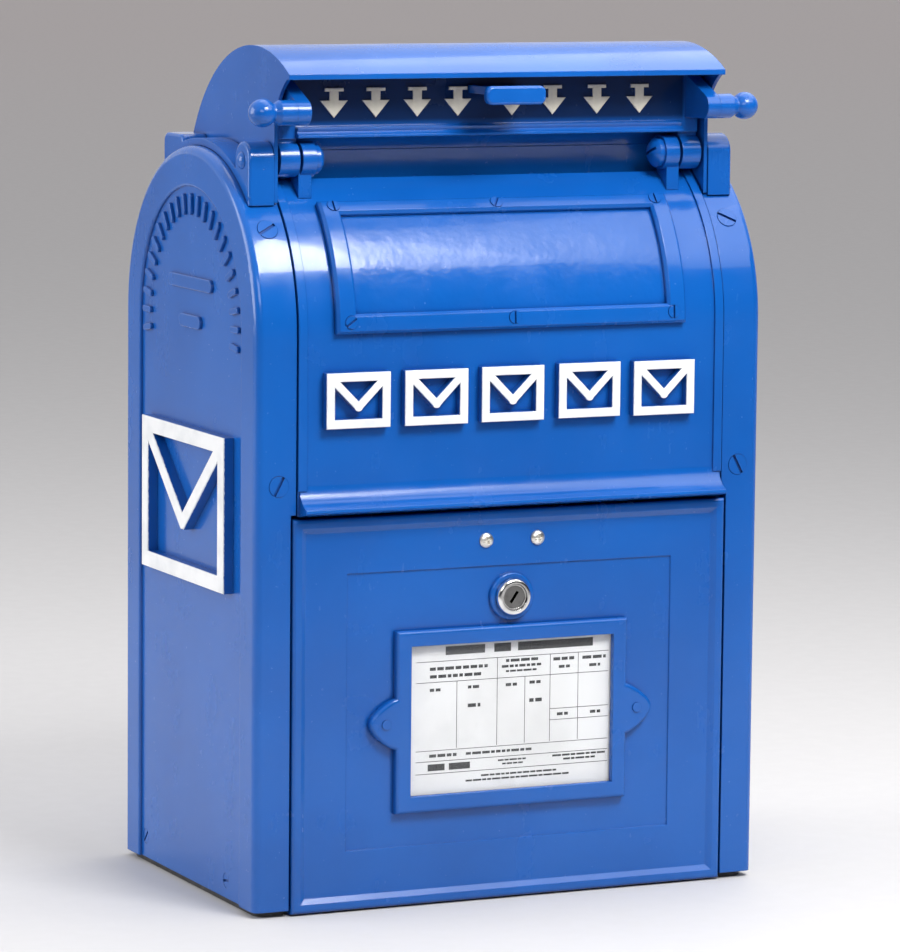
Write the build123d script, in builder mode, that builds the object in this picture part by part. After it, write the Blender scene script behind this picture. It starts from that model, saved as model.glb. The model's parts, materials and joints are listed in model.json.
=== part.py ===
"""A cast letter box for a post or wall, with a pull-down flap and a collection door.

Frame: +Z up, the front faces -Y, +X to the right of someone facing the front.
The origin is the middle of the base plate's underside.
"""
from build123d import *

import os
from math import cos, radians, sin, sqrt

# ---------------------------------------------------------------- driving dimensions (mm)
WIDTH = 358.0                # outside of one side casting to the outside of the other
DEPTH = 226.0                # front flange to back flange, and the diameter of the arch
SPRING_Z = 371.2             # height where the straight walls turn into the arch
BASE_T = 3.6                 # base plate thickness
BASE_INSET = 4.0             # the base plate lies this far inside the castings
CAST_T = 5.0                 # wall of every casting
SHELL_HALF = 150.4           # half width of the front and back shells that show
FLANGE_INNER = 151.4         # inner edge of the side castings' flanges
TONGUE_HALF = 171.0          # half width of the shells, with the tongues behind the flanges
RIM_WIDTH = 26.0             # raised rim round each side face
RIM_ROUND = 5.5              # outer rounding of that rim
RIM_STEP = 2.2               # how far the side face lies behind the rim
THROAT_DEG = 57.0            # front shell ends here, measured round the arch from the front
BACK_DEG = 62.0              # back shell ends here, measured round the arch from the back
LEDGE_Z = 258.6              # underside of the drip ledge's nose
LEDGE_OUT = 12.0             # how far the drip ledge stands out
SHELL_BOTTOM = 256.5         # lower edge of the front shell

HOOD_R = 114.4               # outside radius of the weather hood's roof
HOOD_Y = -46.0               # centre of that radius
HOOD_Z = 436.0
HOOD_HALF = 154.0            # outside of the hood's cheeks
SHEET_T = 2.5                # hood sheet thickness
LIP_Y = -104.5               # front of the hood's lip
LIP_DROP = 3.4               # turned-down height of the lip

PIVOT_Y = -70.0              # flap pivot axis, parallel to X
PIVOT_Z = 479.0
PIVOT_R = 4.0                # shank of the pivot screws
KNUCKLE_HEAD_R = 11.4        # rounded ends of the posts and of the flap's ears
REAR_LUG_Y = 47.0            # rear fixing of the hood
REAR_LUG_Z = 480.0
REAR_LUG_TOP = 489.5
LUG_BOTTOM = 451.0           # the brackets end above the flange's front screws
LUG_R = 12.0                 # rounded top of the front lugs
LUG_DEPTH = 40.0             # the lugs run down into the strap over the arch
REAR_LUG_WIDTH = 34.0
LUG_INNER = 154.4            # lug brackets lie between these distances from the middle
LUG_OUTER = 171.5
STRAP_T = 4.8                # thickness of the strap over the arch
POST_INNER = 124.0           # hinge posts lie between these distances from the middle
POST_OUTER = 134.0

FLAP_HALF = 149.4            # half width of the pull-down flap
FLAP_FACE_Y = -75.0          # front of the flap's panel
FLAP_TOP_Z = 534.0
FLAP_BOTTOM_Z = 492.2
COVE_R = 19.5                # middle radius of the trough behind the pivot line
COVE_HALF = 136.5
HORN_Y = -100.5              # axis of the ball-ended horns
HORN_Z = 510.4
HORN_R = 8.0
BALL_X = 170.4               # centre of each ball
BALL_R = 9.0
HORN_END_X = 159.5           # the horn narrows from here to its neck
NECK_R = 6.0
NECK_TAPER = 3.4
BAFFLE_LENGTH = 96.0         # theft baffle, from the trough's tail to its free edge
BAFFLE_TILT = 165.0          # direction of the baffle at rest, from straight up

DOOR_HALF = 153.6            # collection door
DOOR_BOTTOM = 0.8
DOOR_TOP = 254.5
DOOR_FACE_Y = -112.2
DOOR_BACK_Y = -108.2
DOOR_BEAD = 9.5              # raised bead round the door
BEAD_OUT = 2.5
PANEL_HALF = 115.1           # sunk panel in the door
PANEL_BOTTOM = 39.2
PANEL_TOP = 217.8
PANEL_SINK = 1.0
HINGE_Y = -110.6             # door hinge axis, parallel to X
HINGE_Z = 5.6
HINGE_PIN_R = 1.0
KNUCKLE_R = 2.0

LOCK_Z = 197.7               # cam lock
BARREL_R = 9.5
PLUG_R = 7.4
CRANK_R = 8.0                # crank pin's distance from the lock axis
CRANK_PIN_R = 2.0
SCREW_X = 18.3               # pair of cross-head screws above the lock
SCREW_Z = 235.0

CARD_FRAME_HALF = 82.3       # card frame on the door
CARD_FRAME_BOTTOM = 61.0
CARD_FRAME_TOP = 179.6
CARD_OPEN_HALF = 71.2
CARD_OPEN_BOTTOM = 72.5
CARD_OPEN_TOP = 168.5
CARD_FRAME_T = 5.8
EAR_HALF = 100.6             # tips of the card frame's ears
EAR_Z = 120.0
EAR_RIVET_X = 89.5

LABEL_X = -2.2               # curved label frame on the front shell, its middle
LABEL_HALF = 123.5
LABEL_OPEN_HALF = 110.0
LABEL_BOTTOM_DEG = 0.1
LABEL_TOP_DEG = 44.4
LABEL_OPEN_LOW = 6.3
LABEL_OPEN_HIGH = 39.2
LABEL_SCREW_XS = (-116.3, -2.2, 111.9)
LABEL_SCREW_DEG = (3.7, 42.0)

FLANGE_SCREW_X = 163.2
FLANGE_SCREW_Z = 276.2
FLANGE_SCREW_DEG = 35.5
MOUNT_R = 4.5                # bolt holes for a post or wall
BACK_BOLT_X = 100.0
BACK_BOLT_Z = (110.0, 330.0)
BASE_BOLT_X = 110.0
BASE_BOLT_Y = 60.0

# ---------------------------------------------------------------- derived values
R = DEPTH / 2
HALF = WIDTH / 2
GAP = 0.3                    # between curved neighbours that don't move
RUNNING = 0.06               # radial clearance of a turning fit
SIDES = (-1, 1)
FRONT, BACK = -1, 1

os.makedirs("parts", exist_ok=True)


# ---------------------------------------------------------------- shared outlines
def arch_point(radius, degrees, side=FRONT):
    """Point on the arch at this radius, measured round from the front or the back."""
    angle = radians(degrees)
    return side * radius * cos(angle), SPRING_Z + radius * sin(angle)


def arch_plane(x, radius, degrees, side=FRONT):
    """Plane on the arch, its normal pointing out of the box."""
    y, z = arch_point(radius, degrees, side)
    angle = radians(degrees)
    return Plane(origin=(x, y, z), x_dir=(1, 0, 0), z_dir=(0, side * cos(angle), sin(angle)))


def polar(degrees, radius, centre=(PIVOT_Y, PIVOT_Z)):
    """Point in the YZ plane round a centre, degrees from straight up towards the back."""
    angle = radians(degrees)
    return centre[0] + radius * sin(angle), centre[1] + radius * cos(angle)


def arch_outline(x, inset, floor_z):
    """Arch-topped outline of the whole box, inset from its outer surface."""
    half = R - inset
    with BuildSketch(Plane.YZ.offset(x)) as outline:
        with BuildLine():
            Polyline((half, SPRING_Z), (half, floor_z), (-half, floor_z), (-half, SPRING_Z))
            ThreePointArc((-half, SPRING_Z), (0, SPRING_Z + half), (half, SPRING_Z))
        make_face()
    return outline.sketch


def wall_outline(x, outer, inner, floor_z, top_deg, side=FRONT):
    """Section of a wall that rises from floor_z and follows the arch to top_deg."""
    with BuildSketch(Plane.YZ.offset(x)) as outline:
        with BuildLine():
            ThreePointArc((side * outer, SPRING_Z), arch_point(outer, top_deg / 2, side),
                          arch_point(outer, top_deg, side))
            Line(arch_point(outer, top_deg, side), arch_point(inner, top_deg, side))
            ThreePointArc(arch_point(inner, top_deg, side), arch_point(inner, top_deg / 2, side),
                          (side * inner, SPRING_Z))
            Polyline((side * inner, SPRING_Z), (side * inner, floor_z), (side * outer, floor_z),
                     (side * outer, SPRING_Z))
        make_face()
    return outline.sketch


def arch_strip(x, outer, inner, low_deg, high_deg):
    """Section of a strip on the front of the arch between two angles."""
    middle = (low_deg + high_deg) / 2
    with BuildSketch(Plane.YZ.offset(x)) as outline:
        with BuildLine():
            ThreePointArc(arch_point(outer, low_deg), arch_point(outer, middle),
                          arch_point(outer, high_deg))
            Line(arch_point(outer, high_deg), arch_point(inner, high_deg))
            ThreePointArc(arch_point(inner, high_deg), arch_point(inner, middle),
                          arch_point(inner, low_deg))
            Line(arch_point(inner, low_deg), arch_point(outer, low_deg))
        make_face()
    return outline.sketch


def ring_sector(x, centre, outer, inner, start_deg, end_deg):
    """Section of a rolled sheet round a centre, degrees from straight up."""
    middle = (start_deg + end_deg) / 2
    with BuildSketch(Plane.YZ.offset(x)) as outline:
        with BuildLine():
            ThreePointArc(*[polar(a, outer, centre) for a in (start_deg, middle, end_deg)])
            Line(polar(end_deg, outer, centre), polar(end_deg, inner, centre))
            ThreePointArc(*[polar(a, inner, centre) for a in (end_deg, middle, start_deg)])
            Line(polar(start_deg, inner, centre), polar(start_deg, outer, centre))
        make_face()
    return outline.sketch


def disc(x, centre, radius):
    """Round section in the YZ plane."""
    with BuildSketch(Plane.YZ.offset(x)) as outline:
        with Locations(centre):
            Circle(radius)
    return outline.sketch


def turned(plane, degrees):
    """The same plane with its x and y directions turned about its own normal."""
    return Plane(plane.location * Rotation(0, 0, degrees))


def save(piece, name):
    """Label a finished piece and write it."""
    piece.part.label = name
    export_step(piece.part, f"parts/{name}.step")


def flange_planes(side_x, radius):
    """Where the flange screws sit on one side casting, front and back."""
    x = side_x * FLANGE_SCREW_X
    planes = []
    for side in (FRONT, BACK):
        planes.append(Plane(origin=(x, side * radius, FLANGE_SCREW_Z), x_dir=(1, 0, 0),
                            z_dir=(0, side, 0)))
        planes.append(arch_plane(x, radius, FLANGE_SCREW_DEG, side))
    return planes


PIVOT = (PIVOT_Y, PIVOT_Z)
REAR_LUG = (REAR_LUG_Y, REAR_LUG_Z)
HOOD_CENTRE = (HOOD_Y, HOOD_Z)
FLANGE_HEAD_R = 6.6
FLANGE_HEAD_T = 2.6
SIDE_SCREW_YZ = ((80.0, 17.7), (-61.0, 15.0))
SIDE_HEAD_R = 4.8
PAN_LIP_T = 4.0
PAN_LIP_TOP = 30.0
BRACKET_SCREW_DEG = (78.0, 102.0)
SIDE_FACE = HALF - RIM_STEP

# ---------------------------------------------------------------- base plate
NOTCH_Y = -99.0              # the door's lower edge turns in front of this line

with BuildPart() as base_plate:
    with BuildSketch():
        RectangleRounded(WIDTH - 2 * BASE_INSET, DEPTH - 2 * BASE_INSET, 9)
    extrude(amount=BASE_T)
    with Locations((0, -R, 0)):
        Box(2 * 157, 2 * (R + NOTCH_Y), 4 * BASE_T, mode=Mode.SUBTRACT)
    for side_x in SIDES:
        with Locations((side_x * (HALF - CAST_T - GAP / 3 - PAN_LIP_T / 2), 0, 0)):
            Box(PAN_LIP_T, 190, PAN_LIP_TOP, align=(Align.CENTER, Align.CENTER, Align.MIN))
    with Locations(*[(x * BASE_BOLT_X, y * BASE_BOLT_Y, 0) for x in SIDES for y in SIDES]):
        Cylinder(MOUNT_R, 4 * BASE_T, mode=Mode.SUBTRACT)
    for side_x in SIDES:
        for y, z in SIDE_SCREW_YZ:
            with Locations(Plane(origin=(side_x * HALF, y, z), z_dir=(side_x, 0, 0))):
                Cylinder(2.0, 40, mode=Mode.SUBTRACT)
save(base_plate, "base_plate")


# ---------------------------------------------------------------- side castings
def side_casting(side_x):
    """Arch-topped side with a flange all round and a stop for the door."""
    inner = FLANGE_INNER
    with BuildPart() as casting:
        extrude(arch_outline(inner, 0, BASE_T), amount=HALF - inner)
        outer_face = casting.faces().sort_by(Axis.X)[-1]
        rim_edges = outer_face.edges().filter_by(lambda e: e.center().Z > BASE_T + 1)
        fillet(rim_edges, RIM_ROUND)
        extrude(arch_outline(SIDE_FACE, RIM_WIDTH, 0), amount=2 * RIM_STEP, mode=Mode.SUBTRACT)
        step_edges = casting.faces().sort_by(Axis.X)[-1].edges().filter_by(
            lambda e: abs(e.center().Y) < R - RIM_ROUND - 1 and e.center().Z > BASE_T + 1)
        fillet(step_edges, RIM_STEP * 0.8)
        extrude(arch_outline(inner - 1, CAST_T, 0), amount=HALF - CAST_T - inner + 1,
                mode=Mode.SUBTRACT)
        with Locations((inner, -R, 0)):
            Box(2 * 3.6, 4 * CAST_T, 2 * (SHELL_BOTTOM + 1), mode=Mode.SUBTRACT)
        with Locations((HALF - CAST_T + 0.5, -102.7, BASE_T + 20)):
            Box(26, 4, SHELL_BOTTOM - BASE_T - 22, align=(Align.MAX, Align.CENTER, Align.MIN))
        for plane in flange_planes(1, R):
            with Locations(plane):
                CounterBoreHole(radius=3.1, counter_bore_radius=FLANGE_HEAD_R + 0.15,
                                counter_bore_depth=FLANGE_HEAD_T, depth=20)
        for y, z in SIDE_SCREW_YZ:
            with Locations(Plane(origin=(SIDE_FACE, y, z), z_dir=(1, 0, 0))):
                CounterBoreHole(radius=2.2, counter_bore_radius=SIDE_HEAD_R + 0.1,
                                counter_bore_depth=2.2, depth=20)
        for degrees in BRACKET_SCREW_DEG:
            with Locations(arch_plane((LUG_INNER + LUG_OUTER) / 2, R, degrees)):
                Hole(radius=2.2, depth=12)
        if side_x < 0:
            mirror(about=Plane.YZ, mode=Mode.REPLACE)
    return casting


for side_x, name in ((-1, "left_side_casting"), (1, "right_side_casting")):
    save(side_casting(side_x), name)

# ---------------------------------------------------------------- front and back shells
EDGE_BEAD_W = 6.0
EDGE_BEAD_OUT = 1.3
TONGUE_OUT = R - CAST_T - 0.2
TONGUE_IN = R - 9.0
OVERLAP_X = 141.0


def add_tongues(top_deg, floor_z, side):
    """Both side tongues that the flange screws hold."""
    for side_x in SIDES:
        start = OVERLAP_X if side_x > 0 else -TONGUE_HALF
        extrude(wall_outline(start, TONGUE_OUT, TONGUE_IN, floor_z, top_deg, side),
                amount=TONGUE_HALF - OVERLAP_X)
        start = OVERLAP_X if side_x > 0 else -SHELL_HALF
        extrude(wall_outline(start, R - CAST_T + 0.5, TONGUE_IN, floor_z, top_deg, side),
                amount=SHELL_HALF - OVERLAP_X)


def add_edge_beads(top_deg, floor_z, side):
    """Low raised strips along both edges of a shell."""
    for side_x in SIDES:
        start = SHELL_HALF - EDGE_BEAD_W if side_x > 0 else -SHELL_HALF
        extrude(wall_outline(start, R + EDGE_BEAD_OUT, R - 1, floor_z, top_deg, side),
                amount=EDGE_BEAD_W)


def tap_tongues(side):
    """Threaded holes in the tongues for the flange screws."""
    for side_x in SIDES:
        for plane in flange_planes(side_x, R):
            if plane.origin.Y * side > 0:
                with Locations(plane):
                    Cylinder(2.95, 40, mode=Mode.SUBTRACT)


with BuildPart() as front_shell:
    extrude(wall_outline(-SHELL_HALF, R, R - CAST_T, SHELL_BOTTOM, THROAT_DEG),
            amount=2 * SHELL_HALF)
    add_edge_beads(THROAT_DEG, SHELL_BOTTOM + 16, FRONT)
    add_tongues(THROAT_DEG, SHELL_BOTTOM + 6, FRONT)
    with BuildSketch(Plane.YZ.offset(-SHELL_HALF + 1.2)) as ledge:
        with BuildLine():
            Line((-R + 1, SHELL_BOTTOM), (-R - 1.5, SHELL_BOTTOM))
            Line((-R - 1.5, SHELL_BOTTOM), (-R - LEDGE_OUT + 1.5, LEDGE_Z))
            Line((-R - LEDGE_OUT + 1.5, LEDGE_Z), (-R - LEDGE_OUT, LEDGE_Z + 1))
            Line((-R - LEDGE_OUT, LEDGE_Z + 1), (-R - LEDGE_OUT + 0.6, LEDGE_Z + 3))
            ThreePointArc((-R - LEDGE_OUT + 0.6, LEDGE_Z + 3), (-R - 3.6, LEDGE_Z + 8.2),
                          (-R, LEDGE_Z + 20))
            Polyline((-R, LEDGE_Z + 20), (-R + 1, LEDGE_Z + 20), (-R + 1, SHELL_BOTTOM))
        make_face()
    extrude(amount=2 * SHELL_HALF - 2.4)
    tap_tongues(FRONT)
    for degrees in LABEL_SCREW_DEG:
        for x in LABEL_SCREW_XS:
            with Locations(arch_plane(x, R, degrees)):
                Cylinder(1.95, 20, mode=Mode.SUBTRACT)
save(front_shell, "front_shell")

with BuildPart() as back_shell:
    extrude(wall_outline(-SHELL_HALF, R, R - CAST_T, BASE_T, BACK_DEG, BACK),
            amount=2 * SHELL_HALF)
    add_tongues(BACK_DEG, BASE_T, BACK)
    tap_tongues(BACK)
    for x in SIDES:
        for z in BACK_BOLT_Z:
            with Locations(Plane(origin=(x * BACK_BOLT_X, R, z), z_dir=(0, 1, 0))):
                Cylinder(MOUNT_R, 40, mode=Mode.SUBTRACT)
save(back_shell, "back_shell")


# ---------------------------------------------------------------- slotted screws
def add_slotted_screw(plane, head_r, head_t, proud, shank_r, length, slot_deg):
    """Screw whose seat is head_t - proud below the plane, slot turned by slot_deg."""
    seat = plane.offset(proud - head_t)
    with Locations(seat):
        Cylinder(head_r, head_t, align=(Align.CENTER, Align.CENTER, Align.MIN))
        Cylinder(shank_r, length, align=(Align.CENTER, Align.CENTER, Align.MAX))
    slot = turned(plane.offset(proud), slot_deg)
    with Locations(slot):
        Box(2.2 * head_r, 0.26 * head_r + 0.2, 1.2 * head_t, mode=Mode.SUBTRACT)


FLANGE_SLOTS = (62, 30, 15, -40)
with BuildPart() as flange_screws:
    for side_x in SIDES:
        for plane, slot_deg in zip(flange_planes(side_x, R), FLANGE_SLOTS):
            add_slotted_screw(plane, FLANGE_HEAD_R, FLANGE_HEAD_T + 0.4, 0.4, 2.9, 9,
                              -side_x * slot_deg)
save(flange_screws, "flange_screws")

with BuildPart() as side_screws:
    for side_x in SIDES:
        for (y, z), slot_deg in zip(SIDE_SCREW_YZ, (50, 10)):
            plane = Plane(origin=(side_x * SIDE_FACE, y, z), x_dir=(0, 1, 0), z_dir=(side_x, 0, 0))
            add_slotted_screw(plane, SIDE_HEAD_R, 2.0, -0.2, 1.95, 6, slot_deg)
save(side_screws, "side_screws")


# ---------------------------------------------------------------- lug brackets
def lug_bracket(side_x):
    """Strap over the arch with a front pivot lug and a rear fixing lug."""
    start = LUG_INNER if side_x > 0 else -LUG_OUTER
    width = LUG_OUTER - LUG_INNER
    strap_r = R + 0.2
    with BuildPart() as bracket:
        with BuildSketch(Plane.YZ.offset(start)):
            with Locations(PIVOT):
                Circle(LUG_R)
                Rectangle(2 * LUG_R, LUG_DEPTH, align=(Align.CENTER, Align.MAX))
        extrude(amount=width)
        with BuildSketch(Plane.YZ.offset(start)):
            with Locations((REAR_LUG_Y, REAR_LUG_TOP - LUG_DEPTH)):
                RectangleRounded(REAR_LUG_WIDTH, 2 * LUG_DEPTH, 6)
        extrude(amount=width)
        outer_faces = bracket.faces().sort_by(Axis.X, reverse=side_x > 0)[:2]
        fillet(outer_faces.edges(), 2.0)
        extrude(ring_sector(start, (0, SPRING_Z), R + STRAP_T, R - 2, -44, 40), amount=width)
        extrude(disc(start - 1, (0, SPRING_Z), strap_r), amount=width + 2, mode=Mode.SUBTRACT)
        with Locations((0, 0, LUG_BOTTOM)):
            Box(WIDTH * 2, DEPTH * 2, 200, align=(Align.CENTER, Align.CENTER, Align.MAX),
                mode=Mode.SUBTRACT)
        extrude(disc(-HALF, PIVOT, PIVOT_R + 0.05), amount=WIDTH, mode=Mode.SUBTRACT)
        hole_start = 0 if side_x > 0 else -168
        extrude(disc(hole_start, REAR_LUG, 3.0), amount=168, mode=Mode.SUBTRACT)
        for degrees in BRACKET_SCREW_DEG:
            with Locations(arch_plane(side_x * (LUG_INNER + LUG_OUTER) / 2, R, degrees)):
                Cylinder(2.05, 6, mode=Mode.SUBTRACT)
    return bracket


for side_x, name in ((-1, "left_lug_bracket"), (1, "right_lug_bracket")):
    save(lug_bracket(side_x), name)

with BuildPart() as bracket_screws:
    for side_x in SIDES:
        for degrees in BRACKET_SCREW_DEG:
            x = side_x * (LUG_INNER + LUG_OUTER) / 2
            with Locations(arch_plane(x, R - CAST_T - 0.12, degrees)):
                Cylinder(4.5, 3, align=(Align.CENTER, Align.CENTER, Align.MAX))
                Cylinder(2.0, CAST_T + 2.6, align=(Align.CENTER, Align.CENTER, Align.MIN))
save(bracket_screws, "bracket_screws")

# ---------------------------------------------------------------- weather hood
CHEEK_INNER = HOOD_HALF - SHEET_T
CHEEK_FRONT_Y = -81.0
SEAT_R = R + EDGE_BEAD_OUT + GAP     # the hood's lower edges clear the shells' edge beads
LIP_TILT = -30.7                     # where the roof reaches the lip, from straight up
REAR_TILT = 76.0                     # where the roof reaches the back shell
STOP_Z = 512.0

with BuildPart() as hood:
    extrude(ring_sector(-HOOD_HALF, HOOD_CENTRE, HOOD_R, HOOD_R - SHEET_T, LIP_TILT, REAR_TILT),
            amount=2 * HOOD_HALF)
    lip_top = polar(LIP_TILT, HOOD_R, HOOD_CENTRE)[1]
    with Locations((0, LIP_Y, lip_top)):
        Box(2 * HOOD_HALF, SHEET_T, LIP_DROP, align=(Align.CENTER, Align.MIN, Align.MAX))
    for start in (-HOOD_HALF, CHEEK_INNER):
        with BuildSketch(Plane.YZ.offset(start)):
            with BuildLine():
                front_low = SPRING_Z + sqrt(R**2 - CHEEK_FRONT_Y**2)
                Polyline((0, SPRING_Z + R - 5), (CHEEK_FRONT_Y, front_low - 5),
                         (CHEEK_FRONT_Y, 503))
                ThreePointArc((CHEEK_FRONT_Y, 503), (-88.5, 519.5), (-102.0, 531.5))
                Line((-102.0, 531.5), polar(LIP_TILT + 1, HOOD_R - 1, HOOD_CENTRE))
                ThreePointArc(*[polar(a, HOOD_R - 1, HOOD_CENTRE)
                                for a in (LIP_TILT + 1, 20, REAR_TILT)])
                Line(polar(REAR_TILT, HOOD_R - 1, HOOD_CENTRE), (0, SPRING_Z + R - 5))
            make_face()
        extrude(amount=SHEET_T)
    for side_x in SIDES:
        with Locations((side_x * (CHEEK_INNER - 3), -65.5, STOP_Z)):
            Box(7, 7, 9)
    extrude(disc(-HALF, (0, SPRING_Z), SEAT_R), amount=WIDTH, mode=Mode.SUBTRACT)
    extrude(disc(-HALF, PIVOT, PIVOT_R + 0.2), amount=WIDTH, mode=Mode.SUBTRACT)
    extrude(disc(-HALF, REAR_LUG, 3.1), amount=WIDTH, mode=Mode.SUBTRACT)
save(hood, "hood")

with BuildPart() as hood_screws:
    for side_x in SIDES:
        plane = Plane(origin=(side_x * CHEEK_INNER, *REAR_LUG), x_dir=(0, 1, 0),
                      z_dir=(-side_x, 0, 0))
        add_slotted_screw(plane, 5.2, 3.0, 3.0, 2.9, 16.0, 20)
save(hood_screws, "hood_screws")

# ---------------------------------------------------------------- flap pivots
FOOT_FRONT = -76.5
FOOT_BACK = -62.0
FOOT_INNER = 126.5
FOOT_OUTER = 135.4

with BuildPart() as hinge_posts:
    for side_x in SIDES:
        start = POST_INNER if side_x > 0 else -POST_OUTER
        width = POST_OUTER - POST_INNER
        extrude(disc(start, PIVOT, KNUCKLE_HEAD_R), amount=width)
        foot_start = FOOT_INNER if side_x > 0 else -FOOT_OUTER
        with BuildSketch(Plane.YZ.offset(foot_start)):
            with Locations(((FOOT_FRONT + FOOT_BACK) / 2, PIVOT_Z)):
                Rectangle(FOOT_BACK - FOOT_FRONT, 40, align=(Align.CENTER, Align.MAX))
        extrude(amount=FOOT_OUTER - FOOT_INNER)
    extrude(disc(-HALF, (0, SPRING_Z), R + 0.1), amount=WIDTH, mode=Mode.SUBTRACT)
    extrude(disc(-HALF, PIVOT, PIVOT_R + 0.05), amount=WIDTH, mode=Mode.SUBTRACT)
save(hinge_posts, "hinge_posts")

HEAD_R = 9.8
HEAD_T = 7.8
PIN_LENGTH = LUG_OUTER - POST_INNER + 0.1
DOME_END = PIN_LENGTH + 2.6
DOME_R = 5.6
with BuildPart() as pivot_screws:
    for side_x in SIDES:
        plane = Plane(origin=(side_x * POST_INNER, *PIVOT), x_dir=(0, 1, 0), z_dir=(-side_x, 0, 0))
        with BuildSketch(Plane(origin=(side_x * POST_INNER, *PIVOT), x_dir=(0, 0, 1),
                               z_dir=(0, -side_x, 0))):
            with BuildLine():
                ThreePointArc((0, -DOME_END), (3.8, -DOME_END + 0.8), (DOME_R, -PIN_LENGTH))
                Polyline((DOME_R, -PIN_LENGTH), (PIVOT_R, -PIN_LENGTH), (PIVOT_R, 0), (HEAD_R, 0),
                         (HEAD_R, 3.2))
                ThreePointArc((HEAD_R, 3.2), (0.65 * HEAD_R, 6.4), (0, HEAD_T))
                Line((0, HEAD_T), (0, -DOME_END))
            make_face()
        revolve(axis=Axis((0, *PIVOT), (1, 0, 0)))
        with Locations(turned(plane.offset(HEAD_T), 25)):
            Box(2.4 * HEAD_R, 1.8, 4.4, mode=Mode.SUBTRACT)
save(pivot_screws, "pivot_screws")

# ---------------------------------------------------------------- pull-down flap
EAR_INNER = 136.0
EAR_FRONT_Y = FLAP_FACE_Y + 1.5      # the ears' webs stand behind the panel's face
EAR_DEPTH = 9.0
LIP_HALF = 137.0
PANEL_T = 5.0
ARM_INNER = 140.0
ARM_WIDTH = 9.2
TAIL_DEG = BAFFLE_TILT - 90
TAIL_LENGTH = 26.0
RIVET_ALONG = 21.0
cove_outer = COVE_R + 2.0
cove_inner = COVE_R - 2.0
baffle_x_dir = (0, sin(radians(BAFFLE_TILT)), cos(radians(BAFFLE_TILT)))
baffle_normal = (0, -cos(radians(BAFFLE_TILT)), sin(radians(BAFFLE_TILT)))
tail_y, tail_z = polar(TAIL_DEG, COVE_R)
baffle_plane = Plane(origin=(0, tail_y, tail_z), x_dir=baffle_x_dir, z_dir=baffle_normal)

with BuildPart() as pull_down_flap:
    with Locations((0, FLAP_FACE_Y, (FLAP_TOP_Z + FLAP_BOTTOM_Z) / 2)):
        Box(2 * FLAP_HALF, PANEL_T, FLAP_TOP_Z - FLAP_BOTTOM_Z,
            align=(Align.CENTER, Align.MIN, Align.CENTER))
    with BuildSketch(Plane.YZ.offset(-LIP_HALF)):
        with BuildLine():
            Polyline((FLAP_FACE_Y + 1, FLAP_BOTTOM_Z + 13), (FLAP_FACE_Y, FLAP_BOTTOM_Z + 13))
            ThreePointArc((FLAP_FACE_Y, FLAP_BOTTOM_Z + 13), (FLAP_FACE_Y - 1.5, FLAP_BOTTOM_Z + 5.2),
                          (FLAP_FACE_Y - 5, FLAP_BOTTOM_Z + 2.4))
            Polyline((FLAP_FACE_Y - 5, FLAP_BOTTOM_Z + 2.4), (FLAP_FACE_Y - 5, FLAP_BOTTOM_Z + 0.8),
                     (FLAP_FACE_Y + 3, FLAP_BOTTOM_Z), (FLAP_FACE_Y + 1, FLAP_BOTTOM_Z + 13))
        make_face()
    extrude(amount=2 * LIP_HALF)
    extrude(ring_sector(-COVE_HALF, PIVOT, cove_outer, cove_inner, -22, TAIL_DEG),
            amount=2 * COVE_HALF)
    with Locations(baffle_plane.offset(-1.0)):
        Box(TAIL_LENGTH, 2 * COVE_HALF, 3.0, align=(Align.MIN, Align.CENTER, Align.CENTER))
    for side_x in SIDES:
        ear_start = EAR_INNER if side_x > 0 else -FLAP_HALF
        with BuildSketch(Plane.YZ.offset(ear_start)):
            with BuildLine():
                CenterArc(PIVOT, KNUCKLE_HEAD_R, 0, 360)
            make_face()
            with Locations((EAR_FRONT_Y, PIVOT[1])):
                Rectangle(EAR_DEPTH, FLAP_BOTTOM_Z + 5 - PIVOT[1], align=(Align.MIN, Align.MIN))
        extrude(amount=FLAP_HALF - EAR_INNER)
        arm_start = ARM_INNER if side_x > 0 else -ARM_INNER - ARM_WIDTH
        with BuildSketch(Plane.YZ.offset(arm_start)):
            with BuildLine():
                CenterArc((HORN_Y, HORN_Z), HORN_R, 0, 360)
                Line((FLAP_FACE_Y + 1, 502), (FLAP_FACE_Y + 1, 531))
            make_hull()
        extrude(amount=ARM_WIDTH)
    extrude(disc(-HALF, PIVOT, PIVOT_R + RUNNING), amount=WIDTH, mode=Mode.SUBTRACT)
    RIVET_XS = (-84, -42, 0, 42, 84)
    with Locations(*[baffle_plane.location * Location((RIVET_ALONG, x, 0)) for x in RIVET_XS]):
        Cylinder(1.6, 12, mode=Mode.SUBTRACT)
save(pull_down_flap, "pull_down_flap")

HORN_ROOT_X = ARM_INNER + ARM_WIDTH
with BuildPart() as ball_horns:
    root = Plane(origin=(HORN_ROOT_X, HORN_Y, HORN_Z), z_dir=(1, 0, 0))
    with Locations(root):
        Cylinder(HORN_R, HORN_END_X - HORN_ROOT_X, align=(Align.CENTER, Align.CENTER, Align.MIN))
        Cylinder(NECK_R, BALL_X - HORN_ROOT_X, align=(Align.CENTER, Align.CENTER, Align.MIN))
    with Locations(root.offset(HORN_END_X - HORN_ROOT_X)):
        Cone(HORN_R, NECK_R, NECK_TAPER, align=(Align.CENTER, Align.CENTER, Align.MIN))
    with Locations(root.offset(BALL_X - HORN_ROOT_X)):
        Sphere(BALL_R)
    mirror(about=Plane.YZ)
save(ball_horns, "ball_horns")

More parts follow.
